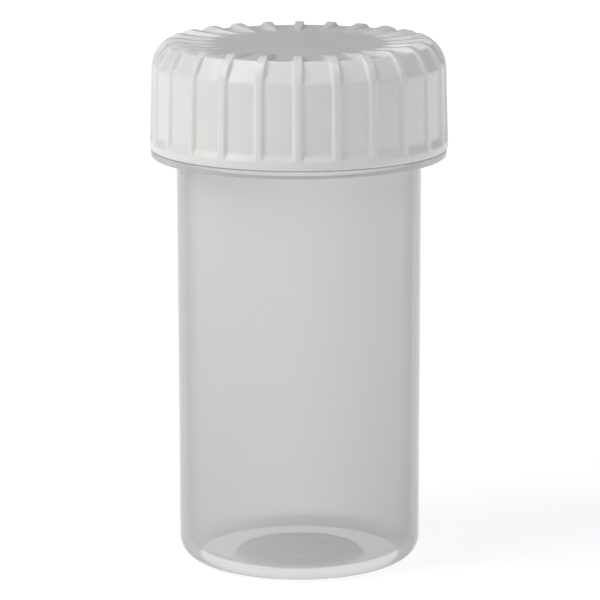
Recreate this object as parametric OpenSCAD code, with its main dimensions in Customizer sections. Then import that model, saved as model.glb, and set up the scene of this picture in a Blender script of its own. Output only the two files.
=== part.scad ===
// Screw-capped prescription vial: a one-piece translucent vial, a ribbed cap and a loose foam wad.
// The origin is the centre of the ring that the vial stands on, and +Z runs up its axis.

/* [Vial] */
// Height of the body, from the ring it stands on to the underside of the flange
body_h = 56.65; // [40:0.05:90]
// Radius of the body at the base
body_base_r = 16.75; // [15.6:0.05:16.8]
// Radius of the body under the flange
body_top_r = 16.85; // [16.5:0.05:17.2]
// Thickness of the wall of the body
wall = 1.1; // [0.8:0.05:1.4]
// Radius of the rounded edge between the body and the base
corner_r = 2.9; // [2:0.1:4]
// Height of the inside floor above the ring it stands on
floor_z = 1.5; // [1.2:0.1:2.4]
// Radius of the shallow recess under the base
recess_r = 8.4; // [8:0.1:12]
// Depth of the recess under the base
recess_depth = 0.5; // [0.2:0.05:0.8]
// Radius of the small step round the gate, in the middle of the recess
gate_r = 4.6; // [3:0.1:7]

/* [Flange and neck] */
// Radius of the flange that the cap closes down to
flange_r = 20.36; // [19.8:0.02:20.6]
// Thickness of the flange
flange_t = 1; // [0.8:0.05:1.2]
// Radius of the neck between the threads
neck_r = 17.5; // [17.2:0.05:17.6]
// Height of the neck, from the top of the flange to the rim
neck_h = 11.6; // [11.4:0.05:11.6]
// Radius of the bore at the rim
bore_r = 15.85; // [15.6:0.05:16]

/* [Thread] */
// Rise of the thread in one turn
pitch = 4.233; // [4:0.001:4.4]
// Turns of thread on the neck
neck_turns = 1.5; // [1:0.25:1.75]
// Turns of thread inside the cap
cap_turns = 1.25; // [0.75:0.25:1.5]
// Radius of the crest of the neck's thread
neck_crest_r = 18.55; // [18.4:0.05:18.6]
// Radius of the crest of the cap's thread
cap_crest_r = 17.85; // [17.8:0.05:18]
// Height of the neck thread's lower end above the flange
neck_thread_z = 3.3; // [3.2:0.1:4]

/* [Cap] */
// Height of the cap, from its lower edge to its flat top
cap_h = 14.3; // [14:0.05:14.6]
// Gap between the lower edge of the cap and the flange
seam = 0.15; // [0.1:0.05:0.35]
// Radius of the inside of the cap's wall
cap_bore_r = 18.8; // [18.75:0.01:18.85]
// Radius of the flat top
top_r = 18.3; // [17.6:0.1:18.8]
// Radius of the wall between the ribs, at the foot of the chamfer
panel_top_r = 19.86; // [19.8:0.02:20]
// Radius of the wall between the ribs, at the band
panel_base_r = 20.02; // [19.96:0.02:20.2]
// Height of the chamfer between the flat top and the wall
chamfer_h = 2.8; // [2:0.1:3.2]
// Thickness of the cap's top
top_t = 1.6; // [1.5:0.05:1.7]
// Radius of the plain band round the lower edge
band_r = 20.5; // [20.4:0.05:20.8]
// Height of the band's upright face
band_h = 1.1; // [0.8:0.1:1.4]
// Height of the slope from the band in to the wall
band_slope_h = 0.9; // [0.6:0.1:1.2]

/* [Ribs] */
// Number of ribs round the cap
rib_count = 24; // [18:1:30]
// Angle of the first rib from the front, when the cap is home
rib_offset = -0.4; // [-7.5:0.1:7.5]
// Width of a rib
rib_w = 1; // [0.6:0.05:1.2]
// Distance of a rib's inner end from the axis
rib_tip_r = 11.4; // [9:0.1:14]
// Height of a rib above the flat top, where it starts to bend
rib_rise = 0.65; // [0.5:0.05:0.8]
// Width of a rib's bend over the shoulder, measured from the axis outwards
rib_bend_w = 3.2; // [3:0.1:3.4]
// Height of a rib's bend over the shoulder
rib_bend_h = 4.4; // [4.2:0.1:4.6]
// Radius of a rib's outer edge just under its bend
rib_r = 20.2; // [20.15:0.01:20.3]

/* [Wad] */
// Thickness of the foam wad
wad_t = 1.1; // [0.9:0.05:1.1]
// Radius of the foam wad
wad_r = 18.2; // [18:0.05:18.25]

/* [Hidden] */
$fn = 96;

flange_z = body_h;
seat_z = flange_z + flange_t;
rim_z = seat_z + neck_h;
cap_z = seat_z + seam;
top_z = cap_z + cap_h;
ceiling_z = top_z - top_t;
flange_edge_r = 0.3;
flange_fillet = 0.7;
neck_fillet = 0.5;
rim_edge_r = 0.45;
floor_fillet = 2.2;
gate_step = 0.2;
stand_r = body_base_r - corner_r;
recess_slope = 0.6;
arc_steps = 8;

band_edge_r = 0.2;
mouth_chamfer = 0.4;
ceiling_fillet = 0.8;
rib_root_r = cap_bore_r + 0.5;
rib_shoulder_r = top_r - 0.5;
rib_peak_r = rib_r - rib_bend_w;
rib_bend_z = top_z + rib_rise - rib_bend_h;
rib_foot_z = cap_z + band_h / 2;
rib_sink = 0.05;
rib_root_z = top_z - 0.6;
wad_gap = 0.05;
wad_edge = 0.2;

thread_root = 0.25;
thread_steps = 48;
thread_fade = 30;
thread_end = 0.3;
neck_thread_half = [1.2, 0.5];
cap_thread_half = [0.85, 0.35];
thread_play = 0.12;

// Points of an arc, from one angle to another
function arc(centre, r, from, to) =
    [for (i = [0 : arc_steps]) let (a = from + (to - from) * i / arc_steps) centre + r * [cos(a), sin(a)]];

// Half-width of a trapezoid thread at a radius between its root and its crest
function half_at(half, root_r, crest_r, r) =
    half[0] + (half[1] - half[0]) * (r - root_r) / (crest_r - root_r);

// Distance between the two threads' middles when the cap pulls up under the neck's thread
mid_r = (neck_crest_r + cap_crest_r) / 2;
thread_offset = half_at(neck_thread_half, neck_r, neck_crest_r, mid_r)
    + half_at(cap_thread_half, cap_bore_r, cap_crest_r, mid_r) + thread_play;

// How far the thread stands out of its wall at an angle: full height, lower at both ends
function fade(a, sweep) = max(min(1, a / thread_fade, (sweep - a) / thread_fade), thread_end);

// One cross-section of a thread, from its root line inside the wall to its crest
function thread_ring(a, sweep, z0, wall_r, root_r, crest_r, half) =
    let (
        z = z0 + pitch * a / 360,
        tip_r = wall_r + (crest_r - wall_r) * fade(a, sweep),
        root_half = half_at(half, wall_r, crest_r, root_r),
        tip_half = half_at(half, wall_r, crest_r, tip_r)
    )
    [for (p = [[root_r, -root_half], [tip_r, -tip_half], [tip_r, tip_half], [root_r, root_half]])
        [p[0] * cos(a), p[0] * sin(a), z + p[1]]];

// A right-hand thread with one start, rising from z0; inward threads list their points the other way round
module thread(turns, z0, wall_r, root_r, crest_r, half) {
    sweep = 360 * turns;
    steps = round(thread_steps * turns);
    order = crest_r < wall_r ? [3, 2, 1, 0] : [0, 1, 2, 3];
    rings = [for (i = [0 : steps])
        let (ring = thread_ring(sweep * i / steps, sweep, z0, wall_r, root_r, crest_r, half))
        [for (k = order) ring[k]]];
    sides = [for (i = [0 : steps - 1]) for (k = [0 : 3])
        let (n = (k + 1) % 4)
        each [[4 * i + k, 4 * i + n, 4 * (i + 1) + n], [4 * i + k, 4 * (i + 1) + n, 4 * (i + 1) + k]]];
    polyhedron(
        points = [for (ring = rings) each ring],
        faces = concat([[3, 2, 1, 0]], sides, [[for (k = [0 : 3]) 4 * steps + k]]),
        convexity = 6
    );
}

// Half section of the vial's wall, floor, flange and neck, going round anticlockwise
vial_section = concat(
    [[0, recess_depth + gate_step], [gate_r - recess_slope, recess_depth + gate_step], [gate_r, recess_depth]],
    [[recess_r, recess_depth], [recess_r + recess_slope, 0]],
    arc([stand_r, corner_r], corner_r, -90, 0),
    [[body_top_r, flange_z - flange_fillet]],
    arc([body_top_r + flange_fillet, flange_z - flange_fillet], flange_fillet, 180, 90),
    arc([flange_r - flange_edge_r, flange_z + flange_edge_r], flange_edge_r, -90, 0),
    arc([flange_r - flange_edge_r, seat_z - flange_edge_r], flange_edge_r, 0, 90),
    arc([neck_r + neck_fillet, seat_z + neck_fillet], neck_fillet, 270, 180),
    arc([neck_r - rim_edge_r, rim_z - rim_edge_r], rim_edge_r, 0, 90),
    arc([bore_r + rim_edge_r, rim_z - rim_edge_r], rim_edge_r, 90, 180),
    arc([body_base_r - wall - floor_fillet, floor_z + floor_fillet], floor_fillet, 0, -90),
    [[0, floor_z]]
);

// Half section of the cap's shell without its ribs, going round anticlockwise
cap_section = concat(
    [[0, ceiling_z]],
    arc([cap_bore_r - ceiling_fillet, ceiling_z - ceiling_fillet], ceiling_fillet, 90, 0),
    [[cap_bore_r, cap_z + mouth_chamfer], [cap_bore_r + mouth_chamfer, cap_z]],
    arc([band_r - band_edge_r, cap_z + band_edge_r], band_edge_r, -90, 0),
    [[band_r, cap_z + band_h], [panel_base_r, cap_z + band_h + band_slope_h]],
    [[panel_top_r, top_z - chamfer_h], [top_r, top_z], [0, top_z]]
);

// Side view of one rib: along the flat top, over the shoulder and down to the band
rib_section = concat(
    [[rib_tip_r, rib_root_z], [rib_shoulder_r, rib_root_z], [rib_root_r, top_z - chamfer_h]],
    [[rib_root_r, rib_foot_z], [band_r - rib_sink, rib_foot_z]],
    [for (i = [0 : arc_steps]) let (a = 90 * i / arc_steps)
        [rib_peak_r + rib_bend_w * cos(a), rib_bend_z + rib_bend_h * sin(a)]],
    [[rib_tip_r, top_z - rib_sink]]
);

// The vial, moulded in one piece
module vial() {
    color([0.86, 0.87, 0.87, 0.55]) {
        rotate_extrude() polygon(vial_section);
        translate([0, 0, seat_z + neck_thread_z])
            thread(neck_turns, 0, neck_r, neck_r - thread_root, neck_crest_r, neck_thread_half);
    }
}

// One rib, lying along +X
module rib() {
    rotate([90, 0, 0])
        linear_extrude(height = rib_w, center = true) polygon(rib_section);
}

// The cap, moulded in one piece with its ribs and its thread
module cap() {
    color([0.93, 0.93, 0.91]) {
        rotate_extrude() polygon(cap_section);
        for (i = [0 : rib_count - 1])
            rotate(-90 + rib_offset + i * 360 / rib_count) rib();
        translate([0, 0, seat_z + neck_thread_z - thread_offset])
            thread(cap_turns, 0, cap_bore_r, cap_bore_r + thread_root, cap_crest_r, cap_thread_half);
    }
}

// The foam wad that seals the rim, held in the cap above its thread
module liner() {
    wad_section = [
        [0, 0], [wad_r - wad_edge, 0], [wad_r, wad_edge],
        [wad_r, wad_t - wad_edge], [wad_r - wad_edge, wad_t], [0, wad_t]
    ];
    color([0.95, 0.95, 0.93])
        translate([0, 0, rim_z + wad_gap])
            rotate_extrude() polygon(wad_section);
}

vial();
cap();
liner();
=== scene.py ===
import math

import bmesh
import bpy
import numpy as np
from mathutils import Matrix, Vector


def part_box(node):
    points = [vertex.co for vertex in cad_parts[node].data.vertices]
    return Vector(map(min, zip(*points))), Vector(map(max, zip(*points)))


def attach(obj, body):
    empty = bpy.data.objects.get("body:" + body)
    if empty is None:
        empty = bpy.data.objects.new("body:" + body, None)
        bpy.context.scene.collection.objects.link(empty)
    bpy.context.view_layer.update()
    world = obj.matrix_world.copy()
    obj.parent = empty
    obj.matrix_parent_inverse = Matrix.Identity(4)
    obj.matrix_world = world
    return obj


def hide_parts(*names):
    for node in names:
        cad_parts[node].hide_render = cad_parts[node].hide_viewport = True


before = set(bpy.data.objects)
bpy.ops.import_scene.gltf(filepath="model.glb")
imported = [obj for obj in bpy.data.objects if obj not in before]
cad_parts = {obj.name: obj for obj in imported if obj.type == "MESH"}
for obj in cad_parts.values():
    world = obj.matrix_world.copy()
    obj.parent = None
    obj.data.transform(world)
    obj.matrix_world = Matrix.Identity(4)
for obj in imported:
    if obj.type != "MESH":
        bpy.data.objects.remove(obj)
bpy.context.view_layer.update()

# ---------------------------------------------------------------- sizes
# Lengths are in millimetres until a mesh is made. The driving places come from the CAD nodes.
MM = 0.001
vial_high = np.array(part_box("vial")[1]) / MM
cap_low, cap_high = [np.array(corner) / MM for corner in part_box("cap")]
wad_low, wad_high = [np.array(corner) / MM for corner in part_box("liner")]

# Vial
BASE_R = 16.75  # radius of the body at the base
BODY_TOP_R = 16.85  # radius of the body under the flange
WALL = 1.1
CORNER_R = 2.9  # rounded edge between the body and the base
FLOOR_Z = 1.5  # inside floor
FLOOR_FILLET = 2.2
RECESS_R, RECESS_DEPTH, RECESS_SLOPE = 8.4, 0.5, 0.6
GATE_R, GATE_STEP = 4.6, 0.2
FLANGE_R = vial_high[0]
FLANGE_T = 1.0
SEAM = 0.15  # gap between the flange and the cap
FLANGE_EDGE, FLANGE_FILLET = 0.3, 0.7
NECK_R, NECK_FILLET = 17.5, 0.5
BORE_R = 15.85
RIM_EDGE = 0.45
rim_z = vial_high[2]
seat_z = cap_low[2] - SEAM  # top of the flange
flange_z = seat_z - FLANGE_T

# Cap
TOP_R = 18.3  # edge of the flat top
PANEL_TOP_R, PANEL_BASE_R = 19.86, 20.02  # wall between the ribs, at the chamfer and at the band
CHAMFER_H = 2.8
RIB_RISE = 0.65
RIB_BEND_W, RIB_BEND_H = 3.2, 4.4
RIB_R = 20.2
RIB_TIP_R = 11.4
RIB_COUNT = 24
RIB_OFFSET = math.radians(-0.4)
RIB_HALF, RIB_CREST = 0.8, 0.36  # half width of a rib's foot, and the share of it that is the flat crest
RIB_TOP_CREST = 0.3  # how much larger that share is on the flat top
BAND_H, BAND_SLOPE_H, BAND_FILLET = 1.1, 0.9, 0.2  # upright face, the slope above it, rounding
CAP_BORE_R = 18.8
MOUTH_CHAMFER = 0.4
CEILING_FILLET = 0.8
band_r = cap_high[0]
cap_z = cap_low[2]
top_z = cap_high[2] - RIB_RISE
ceiling_z = wad_high[2] + 0.1  # a little room over the wad

# Thread
PITCH = 4.233
NECK_TURNS, CAP_TURNS = 1.5, 1.25
NECK_CREST_R, CAP_CREST_R = 18.55, 17.85
NECK_HALF, CAP_HALF = (1.2, 0.5), (0.85, 0.35)  # half widths at the root and at the crest
THREAD_PLAY = 0.12
THREAD_FADE = math.radians(40)
neck_thread_z = seat_z + 3.3

COARSE, FINE = 1.2, 0.12  # row spacing on plain stretches and along the threads


# ---------------------------------------------------------------- mesh tools
def arc(centre, radius, start, end, steps=8):
    """Points of an arc in the (radius, height) plane, angles in degrees."""
    angles = np.radians(np.linspace(start, end, steps + 1))
    return np.column_stack([centre[0] + radius * np.cos(angles), centre[1] + radius * np.sin(angles)])


def densify(points, step):
    """The same outline with no stretch longer than step."""
    points = np.asarray(points, float)
    rows = [points[0]]
    for a, b in zip(points[:-1], points[1:]):
        count = max(1, math.ceil(np.linalg.norm(b - a) / step))
        rows.extend(a + (b - a) * i / count for i in range(1, count + 1))
    return np.array(rows)


def smoothstep(x, low=0.0, high=1.0):
    """A soft step from 0 at low to 1 at high."""
    t = np.clip((x - low) / (high - low), 0.0, 1.0)
    return t * t * (3 - 2 * t)


def skin(name, grid, sharp_deg=32):
    """A closed surface of revolution: grid[row, column] holds points, and the rows' ends lie on the axis."""
    rows, columns = grid.shape[:2]
    vertices = grid.reshape(-1, 3) * MM
    index = np.arange(rows * columns).reshape(rows, columns)
    ahead = np.roll(index, -1, axis=1)
    quads = np.stack([index[:-1], ahead[:-1], ahead[1:], index[1:]], axis=-1).reshape(-1, 4)
    mesh = bpy.data.meshes.new(name)
    mesh.from_pydata(vertices.tolist(), [], quads.tolist())
    bm = bmesh.new()
    bm.from_mesh(mesh)
    bmesh.ops.remove_doubles(bm, verts=bm.verts, dist=1e-7)
    bmesh.ops.dissolve_degenerate(bm, edges=bm.edges, dist=1e-8)
    bmesh.ops.recalc_face_normals(bm, faces=bm.faces)
    bm.to_mesh(mesh)
    bm.free()
    mesh.shade_smooth()
    mesh.set_sharp_from_angle(angle=math.radians(sharp_deg))
    piece = bpy.data.objects.new(name, mesh)
    bpy.context.scene.collection.objects.link(piece)
    return piece


def revolve(profile, azimuth):
    """Grid of points of a profile of (radius, height) rows turned to each azimuth."""
    radius = profile[:, 0][:, None]
    height = np.repeat(profile[:, 1][:, None], len(azimuth), axis=1)
    return np.stack([radius * np.cos(azimuth), radius * np.sin(azimuth), height], axis=-1)


def ridge(azimuth, height, start_z, turns, half, depth):
    """How far a one-start right-hand thread stands out of its wall at each point, from 0 to depth."""
    out = np.zeros(np.broadcast(azimuth, height).shape)
    sweep = 2 * math.pi * turns
    for lap in range(-1, 3):
        turned = azimuth + 2 * math.pi * lap
        fade = smoothstep(turned, 0, THREAD_FADE) * (1 - smoothstep(turned, sweep - THREAD_FADE, sweep))
        away = np.abs(height - start_z - PITCH * turned / (2 * math.pi))
        out = np.maximum(out, depth * fade * (1 - smoothstep(away, half[1], half[0])))
    return out


def half_at(half, root_r, crest_r, radius):
    """Half-width of a thread at a radius between its root and its crest."""
    return half[0] + (half[1] - half[0]) * (radius - root_r) / (crest_r - root_r)


# ---------------------------------------------------------------- vial
def make_vial():
    """Body, recessed base, flange, neck and thread, in one moulding."""
    azimuth = np.linspace(0, 2 * math.pi, 360, endpoint=False)
    stand_r = BASE_R - CORNER_R
    outline = np.vstack([
        [[0, RECESS_DEPTH + GATE_STEP], [GATE_R - 0.4, RECESS_DEPTH + GATE_STEP], [GATE_R, RECESS_DEPTH]],
        [[RECESS_R, RECESS_DEPTH], [RECESS_R + RECESS_SLOPE, 0]],
        arc((stand_r, CORNER_R), CORNER_R, -90, 0, 16),
        arc((BODY_TOP_R + FLANGE_FILLET, flange_z - FLANGE_FILLET), FLANGE_FILLET, 180, 90, 8),
        arc((FLANGE_R - FLANGE_EDGE, flange_z + FLANGE_EDGE), FLANGE_EDGE, -90, 0, 6),
        arc((FLANGE_R - FLANGE_EDGE / 2, seat_z - FLANGE_EDGE / 2), FLANGE_EDGE / 2, 0, 90, 6),
        arc((NECK_R + NECK_FILLET, seat_z + NECK_FILLET), NECK_FILLET, 270, 180, 6),
    ])
    neck = densify([[NECK_R, seat_z + NECK_FILLET], [NECK_R, rim_z - RIM_EDGE]], FINE)[1:]
    inside = np.vstack([
        arc((NECK_R - RIM_EDGE, rim_z - RIM_EDGE), RIM_EDGE, 0, 90, 6)[1:],
        arc((BORE_R + RIM_EDGE, rim_z - RIM_EDGE), RIM_EDGE, 90, 180, 6),
        arc((BASE_R - WALL - FLOOR_FILLET, FLOOR_Z + FLOOR_FILLET), FLOOR_FILLET, 0, -90, 12),
        [[0, FLOOR_Z]],
    ])
    outline = densify(outline, COARSE)
    profile = np.vstack([outline, neck, densify(inside, COARSE)])
    grid = revolve(profile, azimuth)
    first, last = len(outline), len(outline) + len(neck)
    out = ridge(azimuth[None, :], profile[first:last, 1][:, None], neck_thread_z, NECK_TURNS, NECK_HALF,
                NECK_CREST_R - NECK_R)
    grid[first:last, :, 0] += out * np.cos(azimuth)
    grid[first:last, :, 1] += out * np.sin(azimuth)
    return skin("vial_body", grid)


# ---------------------------------------------------------------- cap
def rib_columns():
    """Azimuths round the cap, close together on the ribs and wider between them."""
    near = np.array([0, 0.4, 0.75, 1.0, 1.25, 1.5, 1.75, 2.0, 2.3, 2.8, 3.6, 4.8, 6.2])
    one = np.concatenate([-near[:0:-1], near, [7.5]])
    ribs = np.arange(RIB_COUNT) * 360 / RIB_COUNT
    return np.radians((ribs[:, None] + one[None, :]).ravel()) - math.pi / 2 + RIB_OFFSET


def rib_reach(point, direction):
    """Distance from a point of the shell, along a direction, out to the side view of a rib."""
    rise_z = top_z + RIB_RISE
    bend = np.array([RIB_R - RIB_BEND_W, rise_z - RIB_BEND_H])
    if point[0] <= bend[0] and point[1] > bend[1]:
        along = np.clip((point[0] - RIB_TIP_R) / (bend[0] - RIB_TIP_R), 0, 1)
        return RIB_RISE * along
    if point[1] <= bend[1]:
        down = (bend[1] - point[1]) / (bend[1] - cap_z - BAND_H)
        return RIB_R + (band_r - 0.03 - RIB_R) * down - point[0]
    scale = np.array([RIB_BEND_W, RIB_BEND_H])
    p, d = (point - bend) / scale, direction / scale
    b, c = p @ d, p @ p - 1
    return (-b + math.sqrt(max(b * b - (d @ d) * c, 0))) / (d @ d)


def make_cap():
    """Ribbed shell with its band and inside thread, in one moulding."""
    azimuth = rib_columns()
    foot_z = cap_z + BAND_H + BAND_SLOPE_H
    panel = np.array([PANEL_TOP_R, top_z - CHAMFER_H])
    outside = np.vstack([
        [[0, top_z], [RIB_TIP_R - 0.2, top_z], [TOP_R - 0.12, top_z], [TOP_R, top_z - 0.08]],
        [panel + [-0.06, 0.12], panel + [0.01, -0.14]],
        [[PANEL_BASE_R, foot_z + BAND_FILLET], [PANEL_BASE_R + 0.05, foot_z]],
        [[band_r - 0.06, cap_z + BAND_H + BAND_FILLET / 2], [band_r, cap_z + BAND_H - BAND_FILLET / 2]],
        arc((band_r - BAND_FILLET, cap_z + BAND_FILLET), BAND_FILLET, 0, -90, 6),
        [[CAP_BORE_R + MOUTH_CHAMFER, cap_z]],
    ])
    outside = densify(outside, 0.3)
    bore = densify([[CAP_BORE_R, cap_z + MOUTH_CHAMFER], [CAP_BORE_R, ceiling_z - CEILING_FILLET]], FINE)
    inside = np.vstack([
        arc((CAP_BORE_R - CEILING_FILLET, ceiling_z - CEILING_FILLET), CEILING_FILLET, 0, 90, 8)[1:],
        [[0, ceiling_z]],
    ])
    profile = np.vstack([outside, bore, densify(inside, 1.25 * COARSE)])
    grid = revolve(profile, azimuth)
    add_ribs(grid, outside, azimuth)
    first, last = len(outside), len(outside) + len(bore)
    mid_r = (NECK_CREST_R + CAP_CREST_R) / 2
    offset = (half_at(NECK_HALF, NECK_R, NECK_CREST_R, mid_r)
              + half_at(CAP_HALF, CAP_BORE_R, CAP_CREST_R, mid_r) + THREAD_PLAY)
    turned = np.mod(azimuth, 2 * math.pi)
    deep = ridge(turned[None, :], profile[first:last, 1][:, None], neck_thread_z - offset, CAP_TURNS,
                 CAP_HALF, CAP_BORE_R - CAP_CREST_R)
    grid[first:last, :, 0] -= deep * np.cos(azimuth)
    grid[first:last, :, 1] -= deep * np.sin(azimuth)
    return skin("screw_cap", grid)


def add_ribs(grid, outside, azimuth):
    """Raises the ribs out of the shell's outside rows."""
    bend_r = RIB_R - RIB_BEND_W
    bend_z = top_z + RIB_RISE - RIB_BEND_H
    lengths = np.concatenate([[0], np.cumsum(np.linalg.norm(np.diff(outside, axis=0), axis=1))])
    start = bend_r  # the outline starts on the axis, so its length along the flat top is the radius
    end = lengths[np.argmax(outside[:, 1] <= bend_z)]
    half_pitch = math.pi / RIB_COUNT
    from_rib = np.mod(azimuth + math.pi / 2 - RIB_OFFSET + half_pitch, 2 * half_pitch) - half_pitch
    for row, point in enumerate(outside):
        if point[0] < RIB_TIP_R or point[1] < cap_z + BAND_H - 0.01:
            continue
        tilt = np.clip((lengths[row] - start) / (end - start), 0, 1) * math.pi / 2
        direction = np.array([math.sin(tilt), math.cos(tilt)])
        reach = max(rib_reach(point, direction), 0)
        half_width = RIB_HALF * (0.2 + 0.8 * smoothstep(point[0], RIB_TIP_R, RIB_TIP_R + 5))
        lateral = np.abs(from_rib) * point[0] / half_width
        crest = RIB_CREST + RIB_TOP_CREST * smoothstep(point[1], top_z - RIB_BEND_H, top_z)
        bump = reach * (1 - smoothstep(lateral, crest, 1.0))
        grid[row, :, 0] += bump * direction[0] * np.cos(azimuth)
        grid[row, :, 1] += bump * direction[0] * np.sin(azimuth)
        grid[row, :, 2] += bump * direction[1]


# ---------------------------------------------------------------- wad
def make_wad():
    """Foam disc with a soft edge and the ring that the rim presses into it."""
    azimuth = np.linspace(0, 2 * math.pi, 256, endpoint=False)
    edge, radius = 0.2, wad_high[0]
    low, high = wad_low[2], wad_high[2]
    profile = np.vstack([
        [[0, low], [radius - edge, low]],
        arc((radius - edge, low + edge), edge, -90, 0, 5)[1:],
        arc((radius - edge, high - edge), edge, 0, 90, 5),
        [[0, high]],
    ])
    profile = densify(profile, 0.25)
    press = np.exp(-(((profile[:, 0] - (BORE_R + NECK_R) / 2) / 0.55) ** 2))
    under = profile[:, 1] < low + 0.01
    profile[:, 1] += np.where(under, 0.12 * press, 0)
    return skin("foam_wad", revolve(profile, azimuth))


# ---------------------------------------------------------------- materials
def new_material(name):
    """A material with its nodes, its links and its Principled shader."""
    material = bpy.data.materials.new(name)
    material.use_nodes = True
    nodes = material.node_tree.nodes
    return material, nodes, material.node_tree.links, nodes["Principled BSDF"]


def noise(nodes, links, scale, detail=3.0, stretch=(1, 1, 1)):
    """Noise in object space, with scale in features per metre."""
    coordinates = nodes.new("ShaderNodeTexCoord")
    mapping = nodes.new("ShaderNodeMapping")
    mapping.inputs["Scale"].default_value = stretch
    texture = nodes.new("ShaderNodeTexNoise")
    texture.inputs["Scale"].default_value = scale
    texture.inputs["Detail"].default_value = detail
    links.new(coordinates.outputs["Object"], mapping.inputs["Vector"])
    links.new(mapping.outputs["Vector"], texture.inputs["Vector"])
    return texture


def ramp(nodes, links, source, low, high):
    """Turns a texture's value into a range of colours or numbers."""
    node = nodes.new("ShaderNodeValToRGB")
    node.color_ramp.elements[0].position = 0.35
    node.color_ramp.elements[1].position = 0.65
    node.color_ramp.elements[0].color = low
    node.color_ramp.elements[1].color = high
    links.new(source, node.inputs["Fac"])
    return node


def span(nodes, links, source, value_from, value_to):
    """Maps a number from one range to another, and holds it at the ends."""
    node = nodes.new("ShaderNodeMapRange")
    node.inputs["From Min"].default_value, node.inputs["From Max"].default_value = value_from
    node.inputs["To Min"].default_value, node.inputs["To Max"].default_value = value_to
    links.new(source, node.inputs["Value"])
    return node.outputs["Result"]


def blend(nodes, links, factor, first, second):
    """The colour of first, going over to the flat colour second."""
    mix = nodes.new("ShaderNodeMix")
    mix.data_type = "RGBA"
    colour_a, colour_b = [socket for socket in mix.inputs if socket.type == "RGBA"]
    colour_b.default_value = second
    links.new(factor, mix.inputs[0])
    links.new(first, colour_a)
    return next(socket for socket in mix.outputs if socket.type == "RGBA")


def total(nodes, links, first, second):
    """The sum of two values, kept within 0 and 1."""
    add = nodes.new("ShaderNodeMath")
    add.operation = "ADD"
    add.use_clamp = True
    links.new(first, add.inputs[0])
    links.new(second, add.inputs[1])
    return add.outputs["Value"]


def bump(nodes, links, source, distance, strength, shader):
    """Fine relief, with its height in metres."""
    node = nodes.new("ShaderNodeBump")
    node.inputs["Distance"].default_value = distance
    node.inputs["Strength"].default_value = strength
    links.new(source, node.inputs["Height"])
    links.new(node.outputs["Normal"], shader.inputs["Normal"])


def cap_plastic():
    """Opaque white polypropylene, satin, with a faint uneven gloss."""
    material, nodes, links, shader = new_material("white_plastic")
    tint = ramp(nodes, links, noise(nodes, links, 90).outputs["Fac"],
                (0.83, 0.83, 0.81, 1), (0.86, 0.86, 0.845, 1))
    links.new(tint.outputs["Color"], shader.inputs["Base Color"])
    gloss = ramp(nodes, links, noise(nodes, links, 400).outputs["Fac"],
                 (0.28, 0.28, 0.28, 1), (0.32, 0.32, 0.32, 1))
    links.new(gloss.outputs["Color"], shader.inputs["Roughness"])
    shader.inputs["IOR"].default_value = 1.49
    shader.inputs["Subsurface Weight"].default_value = 0.25
    shader.inputs["Subsurface Radius"].default_value = (1.0, 0.95, 0.9)
    shader.inputs["Subsurface Scale"].default_value = 0.0012
    bump(nodes, links, noise(nodes, links, 5000, 2.0).outputs["Fac"], 0.00001, 0.08, shader)
    return material


def vial_plastic():
    """Natural polypropylene, hazy outside and clearer inside, and denser where the wall is seen along. Its
    colour holds painted light and shade: lighter under the flange, and darker towards the base, along the
    edges and at the underside.
    """
    material, nodes, links, shader = new_material("vial_plastic")
    coordinates = nodes.new("ShaderNodeTexCoord")
    place_in_vial = nodes.new("ShaderNodeSeparateXYZ")
    across = nodes.new("ShaderNodeVectorMath")
    across.operation = "MULTIPLY"
    across.inputs[1].default_value = (1, 1, 0)
    radius = nodes.new("ShaderNodeVectorMath")
    radius.operation = "LENGTH"
    view = nodes.new("ShaderNodeLayerWeight")
    view.inputs["Blend"].default_value = 0.5
    links.new(coordinates.outputs["Object"], place_in_vial.inputs["Vector"])
    links.new(coordinates.outputs["Object"], across.inputs[0])
    links.new(across.outputs["Vector"], radius.inputs[0])
    height, facing = place_in_vial.outputs["Z"], view.outputs["Facing"]
    underside = (0.9 * MM, 1.4 * MM)  # heights where the underside and its rounded edge go over into the wall

    cloud = ramp(nodes, links, noise(nodes, links, 60, 2.0, (1, 1, 0.25)).outputs["Fac"],
                 (0.83, 0.83, 0.815, 1), (0.85, 0.85, 0.84, 1))
    # painted light and shade: the body's colour goes from grey at the base to lighter up under the flange,
    # where the cap's shadow falls
    tint = blend(nodes, links, span(nodes, links, height, (0, flange_z * MM), (1, 0)),
                 cloud.outputs["Color"], (0.63, 0.635, 0.65, 1))
    # painted shade: darker where the wall is seen at a grazing angle, along the body's edges
    tint = blend(nodes, links, span(nodes, links, facing, (0.45, 0.85), (0, 1)), tint, (0.38, 0.38, 0.39, 1))
    # painted shade: the underside and its rounded edge are darker, standing in for the shadow under the vial
    tint = blend(nodes, links, span(nodes, links, height, underside, (1, 0)), tint, (0.56, 0.56, 0.575, 1))
    links.new(tint, shader.inputs["Base Color"])

    haze = 0.27  # what the outer surface adds to the density
    wall = span(nodes, links, facing, (0, 1), (0.15, 0.5))
    skin_r = ((BORE_R + 0.05) * MM, (BORE_R + 0.55) * MM)  # from the inside of the wall to its outside
    outside = span(nodes, links, radius.outputs["Value"], skin_r, (0, haze))
    below = span(nodes, links, height, underside, (haze, 0))
    density = total(nodes, links, total(nodes, links, wall, outside), below)
    links.new(density, shader.inputs["Alpha"])

    shader.inputs["IOR"].default_value = 1.1
    shader.inputs["Roughness"].default_value = 0.25
    shader.inputs["Transmission Weight"].default_value = 0.12
    links.new(span(nodes, links, height, (1.0 * MM, 2.4 * MM), (0.15, 1)), shader.inputs["Coat Weight"])
    shader.inputs["Coat Roughness"].default_value = 0.1
    bump(nodes, links, noise(nodes, links, 700, 2.0).outputs["Fac"], 0.00001, 0.05, shader)
    return material


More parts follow.
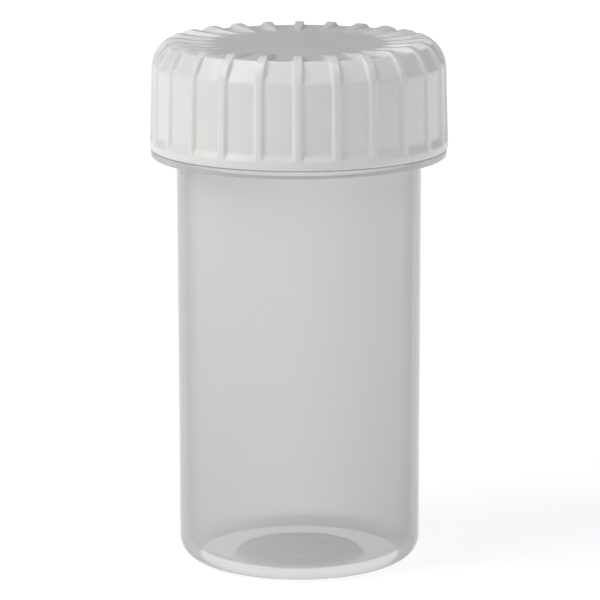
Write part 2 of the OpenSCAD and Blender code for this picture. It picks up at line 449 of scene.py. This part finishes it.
def wad_foam():
    """Closed-cell white foam, matt, with fine cells."""
    material, nodes, links, shader = new_material("white_foam")
    tint = ramp(nodes, links, noise(nodes, links, 700).outputs["Fac"],
                (0.82, 0.82, 0.80, 1), (0.90, 0.90, 0.88, 1))
    links.new(tint.outputs["Color"], shader.inputs["Base Color"])
    shader.inputs["Roughness"].default_value = 0.85
    bump(nodes, links, noise(nodes, links, 2500, 4.0).outputs["Fac"], 0.00006, 0.6, shader)
    return material


# ---------------------------------------------------------------- assembly
def place(piece, node, body, material):
    """Puts a piece in the place of its CAD node."""
    piece.data.materials.append(material)
    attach(piece, body)
    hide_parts(node)


place(make_vial(), "vial", "body", vial_plastic())
place(make_cap(), "cap", "closure", cap_plastic())
place(make_wad(), "liner", "wad", wad_foam())


# ---------------------------------------------------------------- stage
def make_floor():
    """Large white floor that fills the view. It glows behind the object, and less in front of it."""
    bpy.ops.mesh.primitive_plane_add(size=12)
    floor = bpy.context.object
    floor.name = "floor"
    material, nodes, links, shader = new_material("floor_white")
    shader.inputs["Base Color"].default_value = (0.35, 0.35, 0.35, 1)
    shader.inputs["Roughness"].default_value = 0.9
    shader.inputs["Specular IOR Level"].default_value = 0.0
    shader.inputs["Emission Color"].default_value = (1, 1, 1, 1)
    coordinates = nodes.new("ShaderNodeTexCoord")
    place_on_floor = nodes.new("ShaderNodeSeparateXYZ")
    glow = nodes.new("ShaderNodeValToRGB")
    glow.color_ramp.elements[0].position = 0.05
    glow.color_ramp.elements[0].color = (0.46, 0.46, 0.46, 1)
    glow.color_ramp.elements[1].position = 0.85
    glow.color_ramp.elements[1].color = (0.97, 0.97, 0.97, 1)
    glow.color_ramp.elements.new(0.18).color = (0.8, 0.8, 0.8, 1)
    links.new(coordinates.outputs["Object"], place_on_floor.inputs["Vector"])
    links.new(span(nodes, links, place_on_floor.outputs["Y"], (-0.2, 0.8), (0, 1)), glow.inputs["Fac"])
    links.new(glow.outputs["Color"], shader.inputs["Emission Strength"])
    floor.data.materials.append(material)


def soft_light(name, azimuth, elevation, distance, size, power):
    """Square area light aimed at the object. Azimuth 0 is the camera's side, and grows to the right."""
    aim = Vector((0, 0, 0.04))
    a, e = math.radians(azimuth), math.radians(elevation)
    place_at = aim + distance * Vector((math.sin(a) * math.cos(e), -math.cos(a) * math.cos(e), math.sin(e)))
    data = bpy.data.lights.new(name, "AREA")
    data.size = size
    data.energy = power
    light = bpy.data.objects.new(name, data)
    light.location = place_at
    light.rotation_euler = (aim - place_at).to_track_quat("-Z", "Y").to_euler()
    bpy.context.scene.collection.objects.link(light)
    return light


def make_world(strength):
    """Plain white surroundings."""
    world = bpy.data.worlds.new("studio")
    world.use_nodes = True
    background = world.node_tree.nodes["Background"]
    background.inputs["Color"].default_value = (1, 1, 1, 1)
    background.inputs["Strength"].default_value = strength
    bpy.context.scene.world = world


def make_camera():
    """Half a metre away, a little above the cap, looking down at the middle of the vial."""
    data = bpy.data.cameras.new("camera")
    data.sensor_width = 36
    data.lens = 226.6
    camera = bpy.data.objects.new("camera", data)
    pitch, yaw, roll = math.radians(11.85), math.radians(0.013), math.radians(-0.08)
    turn = Matrix.Rotation(-yaw, 4, "Z") @ Matrix.Rotation(math.pi / 2 - pitch, 4, "X")
    turn = turn @ Matrix.Rotation(roll, 4, "Z")
    camera.matrix_world = Matrix.Translation((0, -0.5126, 0.1437)) @ turn
    bpy.context.scene.collection.objects.link(camera)
    bpy.context.scene.camera = camera


make_floor()
soft_light("left", -66, 38, 0.8, 0.5, 2.6)
soft_light("left_top", -62, 62, 0.8, 0.2, 1.05)
soft_light("right", 78, 42, 0.8, 0.5, 0.72)
soft_light("right_top", 42, 60, 0.8, 0.25, 0.7)
soft_light("front", 5, 42, 0.8, 0.3, 0.45)
make_world(0.1)
make_camera()
bpy.context.scene.view_settings.view_transform = "Standard"
